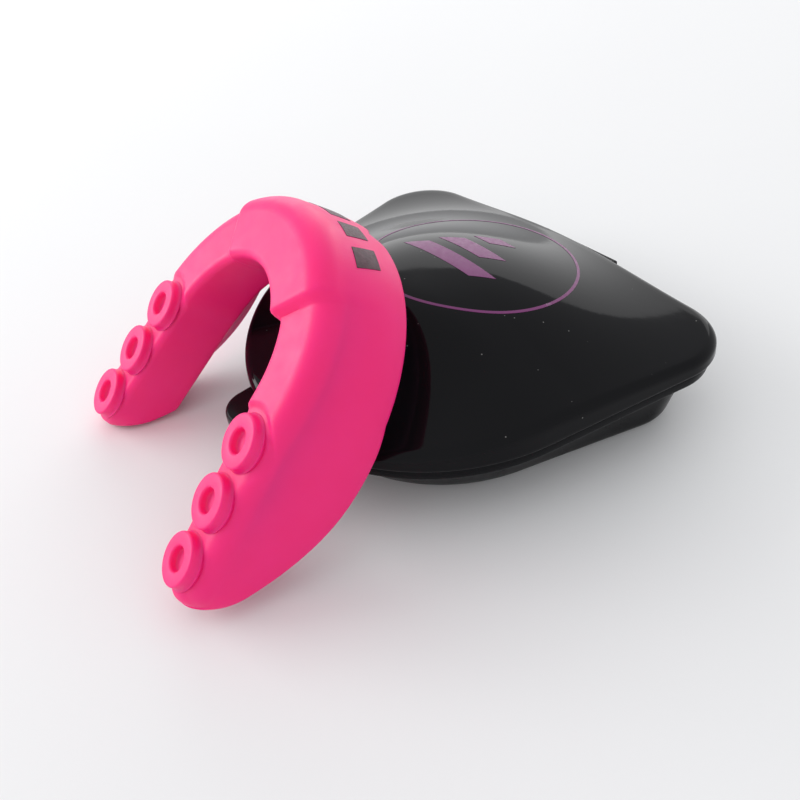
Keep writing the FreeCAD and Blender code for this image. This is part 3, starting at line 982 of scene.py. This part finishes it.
    def trough_ceiling(self, edge: Outline, depth: np.ndarray, margin: float) -> np.ndarray:
        """Height of the trough's closed side, never past the free edge."""
        bend = -np.clip(self.bend_y - edge[:, 1], 0, None) * self.bend_slope
        return -np.minimum(self.web + margin - bend, 0.85 * depth)

    def liner_loops(self) -> list[np.ndarray]:
        """Loops of the lining: against the trough, then its own inner skin.

        Returns:
            The loops in the guard's own axes.
        """
        edge = self.spread(self.half)
        depth = self.edge_depth(edge)
        zone = 0.45 * self._ring_zone() * (1 - self.side)
        outside = self.half - zone - self.wall - self.liner_gap
        inside = outside - self.liner
        lip = self.liner / 2
        foot = -depth + lip + 0.25
        upper = self.trough_ceiling(edge, depth, self.liner_gap)
        lower = np.minimum(upper - self.liner, upper)
        foot = np.minimum(foot, lower - 0.02)
        loops = [np.column_stack([self.spread(outside * s), upper]) for s in (0.0, 0.5, 1.0)]
        for share in np.linspace(0.25, 1, 4):
            loops.append(np.column_stack([self.spread(outside), upper + (foot - upper) * share]))
        for angle in np.radians((45, 90, 135)):
            loops.append(np.column_stack([
                self.spread(outside - lip * (1 - math.cos(angle))), foot - lip * math.sin(angle)
            ]))
        for share in np.linspace(0, 1, 5):
            loops.append(np.column_stack([self.spread(inside), foot + (lower - foot) * share]))
        loops += [np.column_stack([self.spread(inside * s), lower]) for s in (0.8, 0.4, 0.0)]
        return loops

    def ring_loops(self, centre: Outline) -> list[np.ndarray]:
        """Loops of one raised ring with its blind hole.

        Args:
            centre: the ring's middle.

        Returns:
            The loops in the guard's own axes.
        """
        top = self.ring_height
        hole = self.ring_hole
        rim = self.ring_radius
        soft = 0.4
        profile = [
            (0.0, 0.25), (hole - 0.5, 0.25), (hole - 0.2, 0.33), (hole - 0.05, 0.55), (hole, top - 0.45),
        ]
        for angle in np.radians((30, 60, 90)):
            profile.append((hole + soft * (1 - math.cos(angle)), top - soft * (1 - math.sin(angle))))
        for angle in np.radians((0, 22, 45, 68, 90)):
            profile.append((rim - soft * (1 - math.sin(angle)), top - soft * (1 - math.cos(angle))))
        profile += [(rim + 0.02, 0.7), (rim + 0.06, 0.35), (rim + 0.2, 0.10), (rim + 0.42, -0.02)]
        profile += [(rim + 0.35, -0.35), (rim - 0.6, -1.0), (0.0, -1.0)]
        turn = np.linspace(0, 2 * np.pi, 72, endpoint=False)
        circle = np.column_stack([np.cos(turn), np.sin(turn)])
        return [at_height(centre + circle * r, z) for r, z in profile]

    def wall_bars(self) -> list[tuple[np.ndarray, np.ndarray]]:
        """Outer and inner grids of the bars printed on the front wall.

        Returns:
            One pair of grids per bar, in the guard's own axes.
        """
        radius = self.arch_radius + self.half
        bars = []
        for index in range(self.bar_count):
            start = (index - (self.bar_count - 1) / 2) * self.bar_pitch - self.bar_degrees / 2
            along = np.linspace(0, 1, 11)[None, :]
            down = np.linspace(0, 1, 6)[:, None]
            angle = np.radians(start + self.bar_degrees * along + self.bar_slant * down)
            z = -self.bar_drop - self.bar_height * down + 0 * along
            proud = self._wall_swell(angle, z)
            layers = []
            for lift in (self.bar_lift, -self.bar_lift):
                x = (radius + proud + lift) * np.sin(angle)
                y = self.arch_y - (radius + proud + lift) * np.cos(angle)
                layers.append(np.stack([x, y, z + 0 * x], axis=-1))
            bars.append((layers[0], layers[1]))
        return bars

    def axes(self) -> np.ndarray:
        """Columns: the guard's own X, Y and Z as it leans."""
        heading = np.array([math.cos(self.yaw), math.sin(self.yaw), 0.0])
        upright = np.array([0.0, 0.0, 1.0])
        rear = heading * math.cos(self.lean) - upright * math.sin(self.lean)
        up = heading * math.sin(self.lean) + upright * math.cos(self.lean)
        up = up * math.cos(self.roll) + np.cross(rear, up) * math.sin(self.roll)
        return np.column_stack([np.cross(rear, up), rear, up])

    def standing(self) -> Callable[[np.ndarray], np.ndarray]:
        """Find the way from the guard's own axes to where its CAD lining stands.

        Returns:
            A function that moves points.
        """
        axes = self.axes()
        lining = np.vstack(self.liner_loops()) @ axes.T
        low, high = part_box("guard_liner")
        middle = (np.array(low) + np.array(high)) / 2 / MM
        shift = middle - (lining.min(axis=0) + lining.max(axis=0)) / 2
        LOG.info("guard stands at %s mm", np.round(shift, 2))
        return lambda points: points @ axes.T + shift

    def build(self) -> None:
        """Build and dress every piece of the mouthguard."""
        stand = self.standing()
        skins = [("guard_body", self.shell_loops())]
        skins += [("guard_ring", self.ring_loops(centre)) for centre in self.rings]
        shell = [
            loft(name, [stand(loop) for loop in loops], sharp_degrees=GEL_CRISP_DEGREES)
            for name, loops in skins
        ]
        dress(join("gel_shell", shell), self.finishes.gel_pink, "guard_pink", Body.GUARD, "guard_shell")
        liner = loft("gel_liner", [stand(loop) for loop in self.liner_loops()])
        dress(liner, self.finishes.liner_pink, "liner_pink", Body.GUARD, "guard_liner")
        bars = [patch("wall_bar", stand(top), stand(under)) for top, under in self.wall_bars()]
        dress(join("wall_bars", bars), self.finishes.wall_ink, "wall_ink", Body.GUARD, "guard_wall_print")


@dataclass
class Studio:
    """Pale floor, soft lights and the camera."""

    finishes: Finishes
    azimuth: float = math.radians(55.2)
    elevation: float = math.radians(40.42)
    bank: float = math.radians(8.29)
    eye: tuple[float, float, float] = (0.1232, -0.0963, 0.1321)
    lens: float = 49.5

    def build_floor(self) -> None:
        """Lay the pale floor."""
        bpy.ops.mesh.primitive_plane_add(size=6.0, location=(0, 0, 0))
        floor = bpy.context.object
        floor.name = "floor"
        floor.data.materials.append(self.finishes.pale_floor)

    def build_light(self, name: str, place: tuple, size: tuple, watts: float) -> None:
        """Hang one soft light aimed at the set.

        Args:
            name: the lamp's name.
            place: where it hangs, in metres.
            size: width and height.
            watts: its power.
        """
        lamp = bpy.data.lights.new(name, "AREA")
        lamp.shape = "RECTANGLE"
        lamp.size, lamp.size_y = size
        lamp.energy = watts
        holder = bpy.data.objects.new(name, lamp)
        bpy.context.scene.collection.objects.link(holder)
        holder.location = place
        aim = Vector((0, 0, 0.01)) - Vector(place)
        holder.rotation_euler = aim.to_track_quat("-Z", "Y").to_euler()

    def build_world(self) -> None:
        """Fill the room with soft pale light."""
        world = bpy.data.worlds.new("room")
        world.use_nodes = True
        ground = world.node_tree.nodes["Background"]
        ground.inputs["Color"].default_value = (0.92, 0.93, 0.95, 1.0)
        ground.inputs["Strength"].default_value = 0.90
        bpy.context.scene.world = world

    def build_camera(self) -> None:
        """Place the camera."""
        ahead = Vector((
            -math.sin(self.azimuth) * math.cos(self.elevation),
            math.cos(self.azimuth) * math.cos(self.elevation),
            -math.sin(self.elevation),
        ))
        level = Vector((math.cos(self.azimuth), math.sin(self.azimuth), 0))
        upward = level.cross(ahead)
        right = level * math.cos(self.bank) - upward * math.sin(self.bank)
        top = level * math.sin(self.bank) + upward * math.cos(self.bank)
        camera = bpy.data.cameras.new("camera")
        camera.lens = self.lens
        camera.sensor_width = 36.0
        camera.clip_start = 0.005
        holder = bpy.data.objects.new("camera", camera)
        bpy.context.scene.collection.objects.link(holder)
        turn = Matrix((right, top, -ahead)).transposed().to_4x4()
        holder.matrix_world = Matrix.Translation(Vector(self.eye)) @ turn
        bpy.context.scene.camera = holder

    def build(self) -> None:
        """Set the stage."""
        self.build_floor()
        self.build_world()
        self.build_light("far_softbox", (-0.62, 0.70, 0.28), (1.1, 0.62), 3.2)
        self.build_light("side_softbox", (-0.60, -0.42, 0.30), (0.55, 0.34), 3.0)
        self.build_camera()
        bpy.context.scene.view_settings.view_transform = "Standard"


def rim_plan(front_radius: float = 35.0, corner_radius: float = 10.0, back_y: float = 32.4) -> RimPlan:
    """Lay out the case's plan round the CAD lid.

    Args:
        front_radius: radius of the round front, in millimetres.
        corner_radius: radius of the corners at the hinge side.
        back_y: where the hinge side lies.

    Returns:
        The plan.
    """
    lid_low, lid_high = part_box("case_lid")
    half_width = (lid_high.x - lid_low.x) / 2 / MM
    return RimPlan(half_width, front_radius, lid_low.y / MM + front_radius, corner_radius, back_y)


def main() -> None:
    """Build the set in order."""
    logging.basicConfig(level=logging.INFO)
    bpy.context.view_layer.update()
    finishes = Finishes()
    Case(rim_plan(), finishes).build()
    Guard(finishes).build()
    Studio(finishes).build()


if __name__ == "__main__":
    main()
